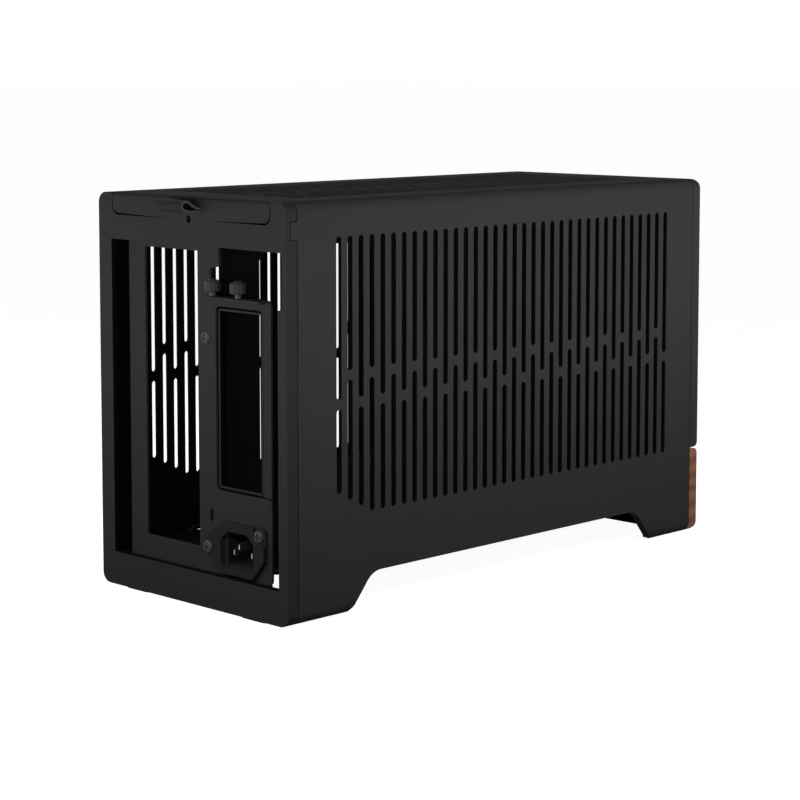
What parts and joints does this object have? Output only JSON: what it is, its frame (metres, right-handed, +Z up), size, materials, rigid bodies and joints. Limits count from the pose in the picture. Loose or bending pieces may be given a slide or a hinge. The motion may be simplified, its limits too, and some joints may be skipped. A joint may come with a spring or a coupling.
{
  "type": "mini-itx pc case",
  "caption": "Compact PC case with slotted hinged side panels, lift-off slotted lid with pull tab, walnut front strip, recessed rear plate and a spine that slides sideways.",
  "frame": {"origin": "bottom centre of the whole case, on the plane its feet stand on, midway between the front face and the end of the rear pull tab", "axes": "+Z up; front (wood strip, power button) faces -Y; rear plate faces +Y; +X is to the right when looking at the rear from the front side, so the board's side is +X and the graphics card's side is -X"},
  "size_m": [0.153, 0.3562, 0.2188],
  "materials": {
    "shell_paint": "fine powder coat, graphite",
    "chassis_paint": "matt powder coat, near black",
    "walnut": "oiled, straight grain",
    "foot_rubber": "matt",
    "tab_leather": "smooth strap with paler cut edges",
    "hardware": "plain",
    "black_hardware": "black oxide",
    "black_plastic": "fine moulded texture",
    "circuit_board": "black solder mask",
    "port_steel": "plain",
    "button_metal": "dark satin"
  },
  "bodies": {
    "chassis": {"rear_frame": "shell_paint", "base_pan": "chassis_paint", "front_frame": "chassis_paint", "left_top_rail": "chassis_paint", "right_top_rail": "chassis_paint", "spine_crossbar": "chassis_paint", "front_panel": "shell_paint", "walnut_strip": "walnut", "psu_bracket": "chassis_paint", "rubber_feet": "foot_rubber", "hinge_pins": "hardware", "panel_catches": "black_plastic", "lid_catches": "black_plastic", "io_board": "circuit_board", "usb_a_ports": "port_steel", "usb_c_port": "port_steel", "power_switch": "black_plastic"},
    "left_panel": {"left_side_panel": "shell_paint", "left_panel_studs": "hardware"},
    "right_panel": {"right_side_panel": "shell_paint", "right_panel_studs": "hardware"},
    "lid": {"top_panel": "shell_paint", "lid_studs": "hardware", "pull_tab": "tab_leather"},
    "spine": {"spine_tray": "chassis_paint", "rear_io_plate": "shell_paint", "board_standoffs": "hardware", "thumbscrews": "black_hardware", "plate_screws": "black_hardware", "clamp_screw": "black_hardware", "power_inlet": "black_plastic", "inlet_pins": "port_steel", "inlet_screw": "black_hardware", "riser_board": "circuit_board", "riser_slot": "black_plastic"},
    "power_button": {"power_button": "button_metal"}
  },
  "joints": [
    {"name": "left_panel_hinge", "type": "hinge", "parent": "chassis", "child": "left_panel", "pos_m": [-0.0705, -0.0066, 0.0068], "axis": [0, -1, 0], "range_deg": [0, 85]},
    {"name": "right_panel_hinge", "type": "hinge", "parent": "chassis", "child": "right_panel", "pos_m": [0.0705, -0.0066, 0.0068], "axis": [0, 1, 0], "range_deg": [0, 85]},
    {"name": "lid_lift", "type": "slide", "parent": "chassis", "child": "lid", "axis": [0, 0, 1], "range_m": [0, 0.06]},
    {"name": "spine_shift", "type": "slide", "parent": "chassis", "child": "spine", "axis": [1, 0, 0], "range_m": [-0.0145, 0.0145]},
    {"name": "power_button_press", "type": "slide", "parent": "chassis", "child": "power_button", "axis": [0, 1, 0], "range_m": [0, 0.001], "stiffness_N_per_m": 800}
  ]
}
